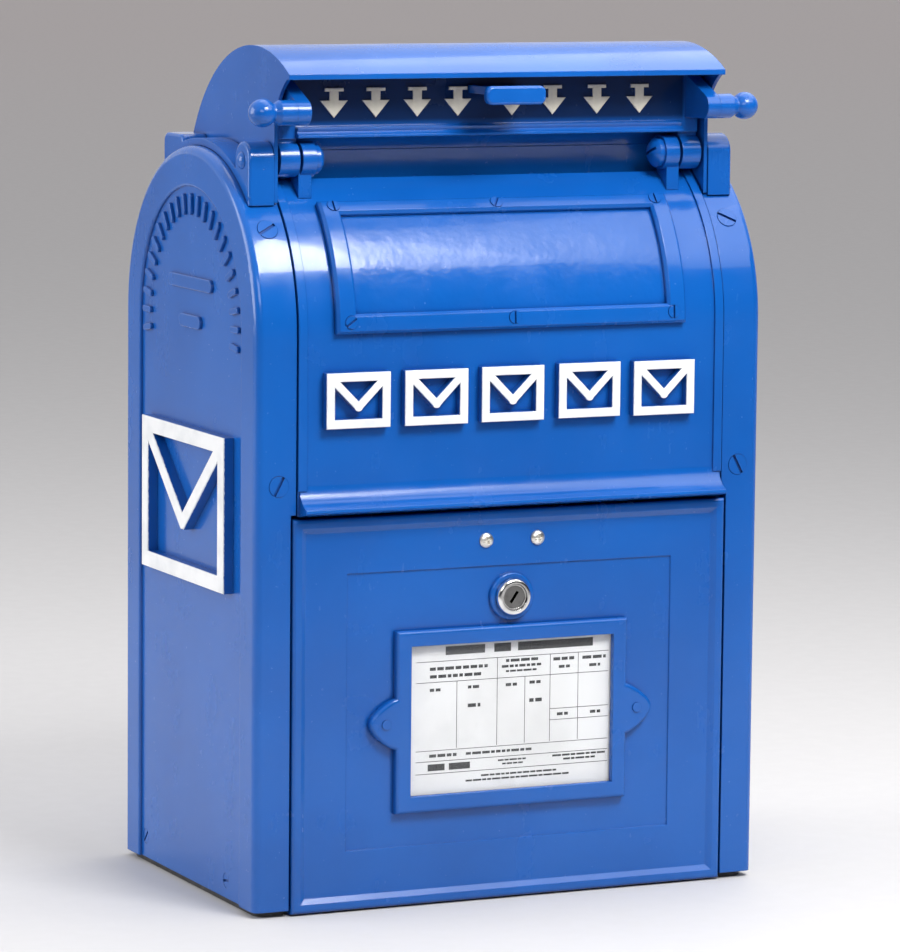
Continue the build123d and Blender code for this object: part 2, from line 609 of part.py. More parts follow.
TAB_FRONT = -113.0
TAB_TOP = 525.8
TAB_LIP_T = 5.0
TAB_LIP_HEIGHT = 12.0
with BuildPart() as finger_tab:
    with BuildSketch(Plane(origin=(0, TAB_FRONT, TAB_TOP - TAB_LIP_HEIGHT / 2), x_dir=(1, 0, 0),
                           z_dir=(0, -1, 0))):
        RectangleRounded(42, TAB_LIP_HEIGHT, 4.5)
    extrude(amount=-TAB_LIP_T)
    fillet(finger_tab.faces().sort_by(Axis.Y)[0].edges(), 2.0)
    with Locations((0, FLAP_FACE_Y, TAB_TOP - 0.8)):
        Box(34, FLAP_FACE_Y - TAB_FRONT - 2.5, 5, align=(Align.CENTER, Align.MAX, Align.MAX))
save(finger_tab, "finger_tab")

SHEET_BAFFLE = 1.6
BAFFLE_HALF = 142.0
with BuildPart() as flap_baffle:
    with BuildSketch(baffle_plane.offset(0.5)):
        with Locations((TAIL_LENGTH - 12, 0)):
            Rectangle(BAFFLE_LENGTH + 12 - TAIL_LENGTH, 2 * BAFFLE_HALF,
                      align=(Align.MIN, Align.CENTER))
    extrude(amount=SHEET_BAFFLE)
    with Locations(*[baffle_plane.location * Location((RIVET_ALONG, x, 0)) for x in RIVET_XS]):
        Cylinder(1.6, 12, mode=Mode.SUBTRACT)
save(flap_baffle, "flap_baffle")

with BuildPart() as baffle_rivets:
    for x in RIVET_XS:
        with Locations(baffle_plane.location * Location((RIVET_ALONG, x, 0))):
            Cylinder(1.55, 4.6, align=(Align.CENTER, Align.CENTER, Align.CENTER))
            Cylinder(1.55, 2.3, align=(Align.CENTER, Align.CENTER, Align.MIN))
        with Locations(baffle_plane.location * Location((RIVET_ALONG, x, 0.5 + SHEET_BAFFLE))):
            Cylinder(3.0, 1.2, align=(Align.CENTER, Align.CENTER, Align.MIN))
        with Locations(baffle_plane.location * Location((RIVET_ALONG, x, -2.5))):
            Cylinder(3.0, 1.2, align=(Align.CENTER, Align.CENTER, Align.MAX))
save(baffle_rivets, "baffle_rivets")

WEIGHT_R = 7.0
with BuildPart() as counterweight:
    with Locations(baffle_plane.location * Location((BAFFLE_LENGTH - 12, 0, 0.5 - WEIGHT_R))
                   * Rotation(90, 0, 0)):
        Cylinder(WEIGHT_R, 230)
    chamfer(counterweight.edges().filter_by(GeomType.CIRCLE), 1.0)
save(counterweight, "counterweight")

# ---------------------------------------------------------------- curved label frame
LABEL_R = R + 5.4
PLATE_T = 0.9

with BuildPart() as label_frame:
    extrude(arch_strip(LABEL_X - LABEL_HALF, LABEL_R, R + 0.2, LABEL_BOTTOM_DEG, LABEL_TOP_DEG),
            amount=2 * LABEL_HALF)
    extrude(arch_strip(LABEL_X - LABEL_OPEN_HALF, LABEL_R + 1, R - 1, LABEL_OPEN_LOW,
                       LABEL_OPEN_HIGH), amount=2 * LABEL_OPEN_HALF, mode=Mode.SUBTRACT)
    outer_edges = label_frame.edges().filter_by(
        lambda e: abs(((e.center().Y)**2 + (e.center().Z - SPRING_Z)**2)**0.5 - LABEL_R) < 1.0)
    chamfer(outer_edges, 1.8)
    extrude(arch_strip(LABEL_X - LABEL_OPEN_HALF - 2, R + 1.4, R - 1, LABEL_OPEN_LOW - 1.0,
                       LABEL_OPEN_HIGH + 1.3), amount=2 * LABEL_OPEN_HALF + 4, mode=Mode.SUBTRACT)
    for degrees in LABEL_SCREW_DEG:
        for x in LABEL_SCREW_XS:
            with Locations(arch_plane(x, LABEL_R, degrees)):
                CounterBoreHole(radius=2.1, counter_bore_radius=4.2, counter_bore_depth=1.6,
                                depth=12)
save(label_frame, "label_frame")

with BuildPart() as label_plate:
    extrude(arch_strip(LABEL_X - LABEL_OPEN_HALF - 1.8, R + 0.2 + PLATE_T, R + 0.2, LABEL_OPEN_LOW - 0.9,
                       LABEL_OPEN_HIGH + 1.2), amount=2 * LABEL_OPEN_HALF + 3.6)
save(label_plate, "label_plate")

LABEL_SLOTS = (35, 90, 90, 90, 60, 90)
with BuildPart() as label_screws:
    places = [(x, degrees) for degrees in LABEL_SCREW_DEG for x in LABEL_SCREW_XS]
    for (x, degrees), slot_deg in zip(places, LABEL_SLOTS):
        add_slotted_screw(arch_plane(x, LABEL_R, degrees), 4.1, 2.2, 0.6, 1.9, 8, slot_deg)
save(label_screws, "label_screws")

# ---------------------------------------------------------------- collection door
DOOR_MID = (DOOR_TOP + DOOR_BOTTOM) / 2
DOOR_HEIGHT = DOOR_TOP - DOOR_BOTTOM
RETURN_Y = -105.2
LEAF_KNUCKLES = ((-120.0, -100.0), (-10.0, 10.0), (100.0, 120.0))
DOOR_KNUCKLES = ((-99.3, -10.7), (10.7, 99.3))
LOCK_BOSS_R = 15.5
LOCK_BOSS_Y = -114.0
door_plane = Plane(origin=(0, DOOR_BACK_Y, DOOR_MID), x_dir=(1, 0, 0), z_dir=(0, -1, 0))
lock_plane = Plane(origin=(0, DOOR_FACE_Y, LOCK_Z), x_dir=(1, 0, 0), z_dir=(0, -1, 0))
face_depth = DOOR_BACK_Y - DOOR_FACE_Y

with BuildPart() as collection_door:
    with BuildSketch(door_plane):
        Rectangle(2 * DOOR_HALF, DOOR_HEIGHT)
    extrude(amount=face_depth + BEAD_OUT)
    bead_edges = collection_door.faces().sort_by(Axis.Y)[0].edges()
    fillet(bead_edges, 2.4)
    with BuildSketch(door_plane.offset(face_depth)):
        Rectangle(2 * (DOOR_HALF - DOOR_BEAD), DOOR_HEIGHT - 2 * DOOR_BEAD)
    extrude(amount=6, mode=Mode.SUBTRACT, taper=-55)
    with BuildSketch(Plane(origin=(0, DOOR_FACE_Y + PANEL_SINK, (PANEL_TOP + PANEL_BOTTOM) / 2),
                           x_dir=(1, 0, 0), z_dir=(0, -1, 0))):
        Rectangle(2 * PANEL_HALF, PANEL_TOP - PANEL_BOTTOM)
    extrude(amount=10, mode=Mode.SUBTRACT, taper=-20)
    with BuildSketch(door_plane):
        Rectangle(2 * DOOR_HALF, DOOR_HEIGHT)
        Rectangle(2 * DOOR_HALF - 9, DOOR_HEIGHT - 9, mode=Mode.SUBTRACT)
    extrude(amount=DOOR_BACK_Y - RETURN_Y)
    with Locations(lock_plane):
        Cylinder(LOCK_BOSS_R, 2 * (DOOR_FACE_Y - LOCK_BOSS_Y))
    boss_edge = collection_door.edges().filter_by(
        lambda e: abs(e.center().Y - LOCK_BOSS_Y) < 0.1 and abs(e.center().Z - LOCK_Z) < 1)
    fillet(boss_edge, 1.4)
    for low, high in DOOR_KNUCKLES:
        extrude(disc(low, (HINGE_Y, HINGE_Z), KNUCKLE_R), amount=high - low)
    for low, high in LEAF_KNUCKLES:
        with Locations(((low + high) / 2, HINGE_Y - KNUCKLE_R - 0.3, HINGE_Z + KNUCKLE_R + 0.5)):
            Box(high - low + 1.4, 20, 40, align=(Align.CENTER, Align.MIN, Align.MAX),
                mode=Mode.SUBTRACT)
    with Locations((0, RETURN_Y, DOOR_TOP)):
        Box(30, 2 * (RETURN_Y - DOOR_BACK_Y), 20, mode=Mode.SUBTRACT)
    extrude(disc(-HALF, (HINGE_Y, HINGE_Z), HINGE_PIN_R + RUNNING), amount=WIDTH,
            mode=Mode.SUBTRACT)
    with Locations(lock_plane):
        Cylinder(BARREL_R + 0.1, 40, mode=Mode.SUBTRACT)
    for x in SIDES:
        with Locations(Plane(origin=(x * SCREW_X, DOOR_FACE_Y, SCREW_Z), z_dir=(0, -1, 0))):
            Cylinder(2.6, 40, mode=Mode.SUBTRACT)
        with Locations(Plane(origin=(x * EAR_RIVET_X, DOOR_FACE_Y, EAR_Z), z_dir=(0, -1, 0))):
            Cylinder(2.1, 40, mode=Mode.SUBTRACT)
save(collection_door, "collection_door")

# ---------------------------------------------------------------- door hinge
with BuildPart() as hinge_leaf:
    with Locations((0, NOTCH_Y, BASE_T)):
        Box(260, 20, 2.4, align=(Align.CENTER, Align.MIN, Align.MIN))
    for low, high in LEAF_KNUCKLES:
        extrude(disc(low, (HINGE_Y, HINGE_Z), KNUCKLE_R), amount=high - low)
        with BuildSketch(Plane.YZ.offset(low)):
            with BuildLine():
                Polyline((NOTCH_Y + 2, BASE_T), (NOTCH_Y + 2, BASE_T + 2.4),
                         (HINGE_Y + 1.0, HINGE_Z + 1.7), (HINGE_Y, HINGE_Z),
                         (HINGE_Y + 0.8, HINGE_Z - 1.8), (NOTCH_Y + 2, BASE_T))
            make_face()
        extrude(amount=high - low)
    extrude(disc(-HALF, (HINGE_Y, HINGE_Z), HINGE_PIN_R + 0.05), amount=WIDTH,
            mode=Mode.SUBTRACT)
    with Locations(*[(x, NOTCH_Y + 11, BASE_T) for x in (-80, 0, 80)]):
        Cylinder(2.1, 20, mode=Mode.SUBTRACT)
save(hinge_leaf, "hinge_leaf")

with BuildPart() as hinge_pin:
    extrude(disc(-122, (HINGE_Y, HINGE_Z), HINGE_PIN_R), amount=244)
save(hinge_pin, "hinge_pin")

with BuildPart() as leaf_screws:
    with Locations(*[(x, NOTCH_Y + 11, BASE_T + 2.4) for x in (-80, 0, 80)]):
        Cylinder(4.0, 1.8, align=(Align.CENTER, Align.CENTER, Align.MIN))
        Cylinder(2.0, 2.4, align=(Align.CENTER, Align.CENTER, Align.MAX))
save(leaf_screws, "leaf_screws")

# ---------------------------------------------------------------- cam lock and sliding bolt
BEZEL_R = 12.0
BEZEL_T = 4.4
BEZEL_RECESS_R = 8.8
BEZEL_RECESS = 1.2
BARREL_END = -100.0
bezel_plane = Plane(origin=(0, LOCK_BOSS_Y, LOCK_Z), x_dir=(1, 0, 0), z_dir=(0, -1, 0))
plug_face = bezel_plane.offset(BEZEL_T - BEZEL_RECESS - 0.3)
KEY_TILT = 55.0

with BuildPart() as lock_barrel:
    with Locations(bezel_plane):
        Cylinder(BEZEL_R, BEZEL_T, align=(Align.CENTER, Align.CENTER, Align.MIN))
    fillet(lock_barrel.faces().sort_by(Axis.Y)[0].edges(), 2.4)
    with Locations(bezel_plane.offset(BEZEL_T)):
        Cylinder(BEZEL_RECESS_R, 2 * BEZEL_RECESS, mode=Mode.SUBTRACT)
    with Locations(bezel_plane):
        Cylinder(BARREL_R, BARREL_END - LOCK_BOSS_Y, align=(Align.CENTER, Align.CENTER, Align.MAX))
        Cylinder(PLUG_R + RUNNING, 60, mode=Mode.SUBTRACT)
save(lock_barrel, "lock_barrel")

with BuildPart() as lock_nut:
    with BuildSketch(Plane(origin=(0, DOOR_BACK_Y, LOCK_Z), x_dir=(1, 0, 0), z_dir=(0, 1, 0))):
        RegularPolygon(14.0, 6)
        Circle(BARREL_R + 0.02, mode=Mode.SUBTRACT)
    extrude(amount=3.5)
save(lock_nut, "lock_nut")

CAM_T = 2.4
with BuildPart() as lock_plug:
    with Locations(plug_face):
        Cylinder(PLUG_R, BARREL_END + 0.3 - plug_face.origin.Y,
                 align=(Align.CENTER, Align.CENTER, Align.MAX))
        Box(7, 7, BARREL_END + 0.3 + CAM_T - plug_face.origin.Y,
            align=(Align.CENTER, Align.CENTER, Align.MAX))
    with Locations(turned(plug_face, KEY_TILT)):
        Box(8.6, 2.0, 12, mode=Mode.SUBTRACT)
save(lock_plug, "lock_plug")

cam_plane = Plane(origin=(0, BARREL_END + 0.3, LOCK_Z), x_dir=(1, 0, 0), z_dir=(0, 1, 0))
crank_x = CRANK_R * cos(radians(45))
with BuildPart() as lock_cam:
    with BuildSketch(cam_plane):
        with BuildLine():
            CenterArc((0, 0), 8.0, 0, 360)
            CenterArc((crank_x, crank_x), 4.0, 0, 360)
        make_hull()
        Rectangle(7.1, 7.1, mode=Mode.SUBTRACT)
    extrude(amount=CAM_T)
    with Locations(Plane(origin=(crank_x, BARREL_END + 0.3 + CAM_T, LOCK_Z - crank_x),
                         z_dir=(0, 1, 0))):
        Cylinder(CRANK_PIN_R, 4.2, align=(Align.CENTER, Align.CENTER, Align.MIN))
save(lock_cam, "lock_cam")

BOLT_HALF = 13.0
BOLT_T = 2.4
BOLT_CLEARANCE = 1.3             # between the bolt and the front shell's inner face
BOLT_BACK = BARREL_END + 0.3 + CAM_T + 0.6
BOLT_FRONT = R - CAST_T - BOLT_CLEARANCE
BOLT_TOP = 252.6
BOLT_SHOULDER = BOLT_TOP - 7.2
slot_z = LOCK_Z - crank_x
with BuildPart() as slide_bolt:
    with BuildSketch(Plane.YZ.offset(-BOLT_HALF)):
        with BuildLine():
            Polyline((BOLT_BACK, slot_z - 10), (BOLT_BACK, BOLT_SHOULDER - 8), (-BOLT_FRONT, BOLT_SHOULDER),
                     (-BOLT_FRONT, BOLT_TOP), (-BOLT_FRONT + BOLT_T, BOLT_TOP),
                     (-BOLT_FRONT + BOLT_T, BOLT_SHOULDER + 1.4), (BOLT_BACK + BOLT_T, BOLT_SHOULDER - 6.8),
                     (BOLT_BACK + BOLT_T, slot_z - 10), (BOLT_BACK, slot_z - 10))
        make_face()
    extrude(amount=2 * BOLT_HALF)
    with BuildSketch(Plane(origin=(0, BOLT_BACK - 1, slot_z), x_dir=(1, 0, 0), z_dir=(0, -1, 0))):
        with Locations(((crank_x + CRANK_R) / 2, 0)):
            Rectangle(CRANK_R - crank_x + 2 * CRANK_PIN_R + 1.2, 2 * CRANK_PIN_R + 1.2)
    extrude(amount=-6, mode=Mode.SUBTRACT)
save(slide_bolt, "slide_bolt")

with BuildPart() as latch_guide:
    guide_back = BOLT_BACK + BOLT_T + 0.5
    with Locations((0, DOOR_BACK_Y, SCREW_Z)):
        Box(50, guide_back + 2.0 - DOOR_BACK_Y, 12, align=(Align.CENTER, Align.MIN, Align.CENTER))
        Box(27.4, guide_back - DOOR_BACK_Y, 20, align=(Align.CENTER, Align.MIN, Align.CENTER),
            mode=Mode.SUBTRACT)
    for x in SIDES:
        with Locations(Plane(origin=(x * SCREW_X, DOOR_BACK_Y, SCREW_Z), z_dir=(0, -1, 0))):
            Cylinder(2.2, 60, mode=Mode.SUBTRACT)
save(latch_guide, "latch_guide")

LATCH_HEAD_T = 2.9
with BuildPart() as latch_screws:
    for x in SIDES:
        head = Plane(origin=(x * SCREW_X, DOOR_FACE_Y, SCREW_Z), x_dir=(1, 0, 0), z_dir=(0, -1, 0))
        with BuildSketch(Plane(origin=(x * SCREW_X, DOOR_FACE_Y, SCREW_Z), x_dir=(1, 0, 0),
                               z_dir=(0, 0, 1))):
            with BuildLine():
                Polyline((0, 22), (2.0, 22), (2.0, 0), (4.8, 0), (4.8, -1.0))
                ThreePointArc((4.8, -1.0), (3.2, -2.3), (0, -LATCH_HEAD_T))
                Line((0, -LATCH_HEAD_T), (0, 22))
            make_face()
        revolve(axis=Axis((x * SCREW_X, 0, SCREW_Z), (0, 1, 0)))
        for turn in (20, 110):
            with Locations(turned(head.offset(LATCH_HEAD_T), turn)):
                Box(5.6, 1.3, 3.4, mode=Mode.SUBTRACT)
save(latch_screws, "latch_screws")

with BuildPart() as latch_nuts:
    for x in SIDES:
        with BuildSketch(Plane(origin=(x * SCREW_X, guide_back + 2.0, SCREW_Z), z_dir=(0, 1, 0))):
            RegularPolygon(4.6, 6)
            Circle(2.05, mode=Mode.SUBTRACT)
        extrude(amount=3.2)
save(latch_nuts, "latch_nuts")

# ---------------------------------------------------------------- card frame, card and window
PANEL_Y = DOOR_FACE_Y + PANEL_SINK
card_mid = (CARD_FRAME_TOP + CARD_FRAME_BOTTOM) / 2
card_plane = Plane(origin=(0, PANEL_Y, card_mid), x_dir=(1, 0, 0), z_dir=(0, -1, 0))
open_h = CARD_OPEN_TOP - CARD_OPEN_BOTTOM
open_mid = (CARD_OPEN_TOP + CARD_OPEN_BOTTOM) / 2 - card_mid

with BuildPart() as card_frame:
    with BuildSketch(card_plane):
        Rectangle(2 * CARD_FRAME_HALF, CARD_FRAME_TOP - CARD_FRAME_BOTTOM)
        for side_x in SIDES:
            with BuildLine():
                Polyline((side_x * (CARD_FRAME_HALF - 1), 16.5), (side_x * CARD_FRAME_HALF, 16))
                Spline((side_x * CARD_FRAME_HALF, 16), (side_x * (EAR_HALF - 5.5), 8.5),
                       (side_x * EAR_HALF, 0.5), (side_x * (EAR_HALF - 5.5), -9.5),
                       (side_x * CARD_FRAME_HALF, -17.5))
                Polyline((side_x * CARD_FRAME_HALF, -17.5), (side_x * (CARD_FRAME_HALF - 1), -18),
                         (side_x * (CARD_FRAME_HALF - 1), 16.5))
            make_face()
    extrude(amount=CARD_FRAME_T)
    fillet(card_frame.faces().sort_by(Axis.Y)[0].edges(), 2.4)
    with BuildSketch(card_plane.offset(-1)):
        with Locations((0, open_mid)):
            Rectangle(2 * CARD_OPEN_HALF, open_h)
    extrude(amount=20, mode=Mode.SUBTRACT, taper=-8)
    with BuildSketch(card_plane):
        with Locations((0, open_mid)):
            Rectangle(2 * CARD_OPEN_HALF + 8, open_h + 8)
    extrude(amount=2.4, mode=Mode.SUBTRACT)
    for x in SIDES:
        with Locations(Plane(origin=(x * EAR_RIVET_X, PANEL_Y, EAR_Z), z_dir=(0, -1, 0))):
            Cylinder(2.1, 60, mode=Mode.SUBTRACT)
save(card_frame, "card_frame")

with BuildPart() as card:
    with BuildSketch(card_plane.offset(0.2)):
        with Locations((0, open_mid)):
            Rectangle(2 * CARD_OPEN_HALF + 6, open_h + 6)
    extrude(amount=0.5)
save(card, "card")

with BuildPart() as card_window:
    with BuildSketch(card_plane.offset(1.0)):
        with Locations((0, open_mid)):
            Rectangle(2 * CARD_OPEN_HALF + 7, open_h + 7)
    extrude(amount=1.2)
save(card_window, "card_window")

with BuildPart() as card_rivets:
    for x in SIDES:
        front = Plane(origin=(x * EAR_RIVET_X, PANEL_Y - CARD_FRAME_T, EAR_Z), z_dir=(0, -1, 0))
        with Locations(front):
            Cylinder(3.2, 0.9, align=(Align.CENTER, Align.CENTER, Align.MIN))
            Cylinder(2.0, DOOR_BACK_Y - front.origin.Y,
                     align=(Align.CENTER, Align.CENTER, Align.MAX))
        with Locations(Plane(origin=(x * EAR_RIVET_X, DOOR_BACK_Y, EAR_Z), z_dir=(0, 1, 0))):
            Cylinder(3.2, 0.9, align=(Align.CENTER, Align.CENTER, Align.MIN))
save(card_rivets, "card_rivets")
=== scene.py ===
import json
import math
import random

import bmesh
import bpy
from mathutils import Matrix, Vector
from mathutils.geometry import delaunay_2d_cdt


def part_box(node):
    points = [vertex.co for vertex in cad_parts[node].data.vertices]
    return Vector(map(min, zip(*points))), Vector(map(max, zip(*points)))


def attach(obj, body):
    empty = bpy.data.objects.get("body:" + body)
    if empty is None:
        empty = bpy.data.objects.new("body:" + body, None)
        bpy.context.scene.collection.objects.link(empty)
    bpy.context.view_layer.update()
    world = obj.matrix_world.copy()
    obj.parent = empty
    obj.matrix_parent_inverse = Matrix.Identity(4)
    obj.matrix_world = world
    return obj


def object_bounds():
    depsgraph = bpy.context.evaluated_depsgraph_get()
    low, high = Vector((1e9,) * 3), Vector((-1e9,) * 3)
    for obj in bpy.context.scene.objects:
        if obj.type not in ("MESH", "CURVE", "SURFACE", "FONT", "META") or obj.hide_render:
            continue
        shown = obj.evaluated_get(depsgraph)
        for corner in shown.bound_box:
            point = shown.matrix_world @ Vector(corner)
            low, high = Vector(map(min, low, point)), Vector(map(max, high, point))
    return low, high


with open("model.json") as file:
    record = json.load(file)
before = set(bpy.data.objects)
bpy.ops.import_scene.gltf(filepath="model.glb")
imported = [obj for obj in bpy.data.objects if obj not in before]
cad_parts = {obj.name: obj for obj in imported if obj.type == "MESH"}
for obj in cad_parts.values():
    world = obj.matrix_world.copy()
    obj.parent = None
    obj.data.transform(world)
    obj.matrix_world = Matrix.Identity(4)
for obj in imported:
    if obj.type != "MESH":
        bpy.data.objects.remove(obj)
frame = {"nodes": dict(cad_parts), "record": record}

CAD_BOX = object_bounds()
NODES = frame["nodes"]
MM = 0.001

# ---------------------------------------------------------------- camera
CAMERA_AZIMUTH = math.radians(-24.9)
CAMERA_ELEVATION = math.radians(7.31)
CAMERA_ROLL = math.radians(0.55)
CAMERA_TARGET = Vector((0.00782, 0.0, 0.26178))
CAMERA_DISTANCE = 3.30275
CAMERA_LENS = 188.13


def make_camera():
    """Camera a little left of the front and just above it, with a long lens."""
    a, e, r = CAMERA_AZIMUTH, CAMERA_ELEVATION, CAMERA_ROLL
    back = Vector((math.sin(a) * math.cos(e), -math.cos(a) * math.cos(e), math.sin(e)))
    right = Vector((math.cos(a), math.sin(a), 0.0))
    up = back.cross(right)
    local_x = math.cos(r) * right + math.sin(r) * up
    local_y = -math.sin(r) * right + math.cos(r) * up
    data = bpy.data.cameras.new("camera")
    data.lens = CAMERA_LENS
    data.sensor_width = 36.0
    data.clip_start = 0.05
    data.clip_end = 200.0
    camera = bpy.data.objects.new("camera", data)
    place = Matrix((local_x, local_y, back)).transposed().to_4x4()
    place.translation = CAMERA_TARGET + back * CAMERA_DISTANCE
    camera.matrix_world = place
    bpy.context.scene.collection.objects.link(camera)
    bpy.context.scene.camera = camera


# ---------------------------------------------------------------- node helpers
# a Mix node's sockets of type colour share their names with its other types
MIX_COLOUR_INPUTS = (6, 7)
MIX_COLOUR_OUTPUT = 2
SHADER_SAMPLES = 6


class Tree:
    """Short calls for building one material's nodes."""

    def __init__(self, name=None, material=None):
        """Starts a new material, or opens a finished one again to add to it."""
        self.material = material or bpy.data.materials.new(name)
        self.material.use_nodes = True
        self.nodes = self.material.node_tree.nodes
        self.links = self.material.node_tree.links
        self.shader = self.nodes["Principled BSDF"]
        self.coordinates = self.nodes.new("ShaderNodeTexCoord").outputs["Object"]

    def set(self, **values):
        for key, value in values.items():
            self.shader.inputs[key.replace("_", " ")].default_value = value

    def link(self, source, socket):
        self.links.new(source, self.shader.inputs[socket])

    def noise(self, scale, detail=2.0, roughness=0.5, stretch=None):
        node = self.nodes.new("ShaderNodeTexNoise")
        node.inputs["Scale"].default_value = scale
        node.inputs["Detail"].default_value = detail
        node.inputs["Roughness"].default_value = roughness
        source = self.coordinates
        if stretch:
            mapping = self.nodes.new("ShaderNodeMapping")
            mapping.inputs["Scale"].default_value = stretch
            self.links.new(source, mapping.inputs["Vector"])
            source = mapping.outputs["Vector"]
        self.links.new(source, node.inputs["Vector"])
        return node.outputs["Fac"]

    def cells(self, scale):
        node = self.nodes.new("ShaderNodeTexVoronoi")
        node.inputs["Scale"].default_value = scale
        self.links.new(self.coordinates, node.inputs["Vector"])
        return node.outputs["Distance"]

    def spread(self, source, low, high, to_low=0.0, to_high=1.0, smooth=True):
        node = self.nodes.new("ShaderNodeMapRange")
        node.interpolation_type = "SMOOTHSTEP" if smooth else "LINEAR"
        node.inputs["From Min"].default_value = low
        node.inputs["From Max"].default_value = high
        node.inputs["To Min"].default_value = to_low
        node.inputs["To Max"].default_value = to_high
        self.links.new(source, node.inputs["Value"])
        return node.outputs["Result"]

    def math(self, operation, a, b):
        node = self.nodes.new("ShaderNodeMath")
        node.operation = operation
        for socket, value in zip(node.inputs, (a, b)):
            if isinstance(value, (int, float)):
                socket.default_value = value
            else:
                self.links.new(value, socket)
        return node.outputs["Value"]

    def mix(self, factor, a, b):
        node = self.nodes.new("ShaderNodeMix")
        node.data_type = "RGBA"
        if isinstance(factor, (int, float)):
            node.inputs["Factor"].default_value = factor
        else:
            self.links.new(factor, node.inputs["Factor"])
        for index, value in zip(MIX_COLOUR_INPUTS, (a, b)):
            socket = node.inputs[index]
            if isinstance(value, tuple):
                socket.default_value = value
            else:
                self.links.new(value, socket)
        return node.outputs[MIX_COLOUR_OUTPUT]

    def axis(self, name):
        node = self.nodes.new("ShaderNodeSeparateXYZ")
        self.links.new(self.coordinates, node.inputs["Vector"])
        return node.outputs[name]

    # ambient occlusion, used to paint shade into creases and recesses
    def occlusion_shade(self, distance):
        node = self.nodes.new("ShaderNodeAmbientOcclusion")
        node.samples = SHADER_SAMPLES
        node.inputs["Distance"].default_value = distance
        return node.outputs["AO"]

    def bump(self, layers, edge_radius=0.0):
        """Stacks (height, strength, distance in mm) layers over softened edges."""
        normal = None
        if edge_radius:
            bevel = self.nodes.new("ShaderNodeBevel")
            bevel.samples = SHADER_SAMPLES
            bevel.inputs["Radius"].default_value = edge_radius
            normal = bevel.outputs["Normal"]
        for height, strength, distance in layers:
            node = self.nodes.new("ShaderNodeBump")
            node.inputs["Strength"].default_value = strength
            node.inputs["Distance"].default_value = distance * MM
            self.links.new(height, node.inputs["Height"])
            if normal:
                self.links.new(normal, node.inputs["Normal"])
            normal = node.outputs["Normal"]
        self.link(normal, "Normal")


# ---------------------------------------------------------------- materials
BLUE_RGB = (0.003, 0.082, 0.355, 1)
BLUE_LIGHT = (0.004, 0.098, 0.41, 1)
# deeper blue for the painted shade in creases
BLUE_PAINTED_SHADE = (0.003, 0.028, 0.17, 1)
BLUE_DUST = (0.10, 0.22, 0.55, 1)
NAVY = (0.0022, 0.009, 0.04, 1)
# near-black for the painted shade in plated recesses
RECESS_PAINTED_SHADE = (0.02, 0.02, 0.02, 1)
# reach of the ambient occlusion that paints shade, on enamel and on plating
SHADE_REACH = 5 * MM
PLATED_SHADE_REACH = 2.2 * MM


def enamel(name, peel=0.10, cast=0.35, edge=0.9, ripple=0.0):
    """Thick glossy blue enamel over a sand casting, brushed on in upright strokes."""
    t = Tree(name)
    broad = t.spread(t.noise(9.0, 3.0), 0.3, 0.7)
    colour = t.mix(broad, BLUE_RGB, BLUE_LIGHT)
    # painted shade: the blue deepens in creases and seams found by ambient occlusion
    seam_shade = t.spread(t.occlusion_shade(SHADE_REACH), 0.35, 0.85, 1.0, 0.0)
    colour = t.mix(t.math("MULTIPLY", seam_shade, 0.75), colour, BLUE_PAINTED_SHADE)
    dust = t.spread(t.noise(420.0, 2.0), 0.73, 0.80)
    colour = t.mix(t.math("MULTIPLY", dust, 0.35), colour, BLUE_DUST)
    t.link(colour, "Base Color")
    strokes = t.noise(70.0, 3.0, 0.6, stretch=(1.0, 1.0, 0.06))
    haze = t.spread(t.noise(26.0, 4.0, 0.6), 0.35, 0.7, 0.17, 0.27)
    haze = t.math("ADD", haze, t.spread(strokes, 0.4, 0.7, 0.0, 0.04))
    t.link(t.math("ADD", haze, t.math("MULTIPLY", dust, 0.2)), "Roughness")
    t.set(Coat_Weight=0.3, Coat_Roughness=0.05, Specular_IOR_Level=0.35)
    pits = t.spread(t.cells(95.0), 0.0, 0.055, 0.0, 1.0)
    rare = t.spread(t.noise(24.0, 1.0), 0.60, 0.68)
    pitted = t.math("SUBTRACT", 1.0, t.math("MULTIPLY", t.math("SUBTRACT", 1.0, pits), rare))
    t.bump([
        (t.noise(38.0, 3.0, 0.55), cast, 0.55),
        (t.noise(300.0, 2.0, 0.5), peel, 0.14),
        (strokes, 0.10, 0.12),
        (t.noise(115.0, 2.0, 0.5), ripple, 0.3),
        (pitted, 0.7, 0.4),
    ], edge * MM)
    return t.material


PAINT_REACH = 0.75
PAINT_WOBBLE = 0.35
PAINT_BLEND = 0.12


def face_paint(name, colour, shade, depth):
    """Paint rolled on the raised faces only, above the enamel on their sides."""
    t = Tree(name)
    wobble = t.spread(t.noise(330.0, 2.0), 0.2, 0.8, -PAINT_WOBBLE, PAINT_WOBBLE, smooth=False)
    height = t.math("SUBTRACT", t.math("ADD", t.axis("Z"), t.math("MULTIPLY", wobble, MM)),
                    (depth - PAINT_REACH) * MM)
    on_face = t.spread(height, -PAINT_BLEND * MM, PAINT_BLEND * MM)
    grime = t.spread(t.noise(60.0, 4.0), 0.35, 0.75)
    paint = t.mix(grime, colour, shade)
    t.link(t.mix(on_face, BLUE_RGB, paint), "Base Color")
    t.link(t.spread(t.noise(90.0, 3.0), 0.3, 0.7, 0.28, 0.42), "Roughness")
    t.set(Coat_Weight=0.25, Coat_Roughness=0.12)
    t.bump([(t.noise(160.0, 3.0), 0.25, 0.25), (t.noise(45.0, 2.0), 0.3, 0.5)], 0.5 * MM)
    return t.material


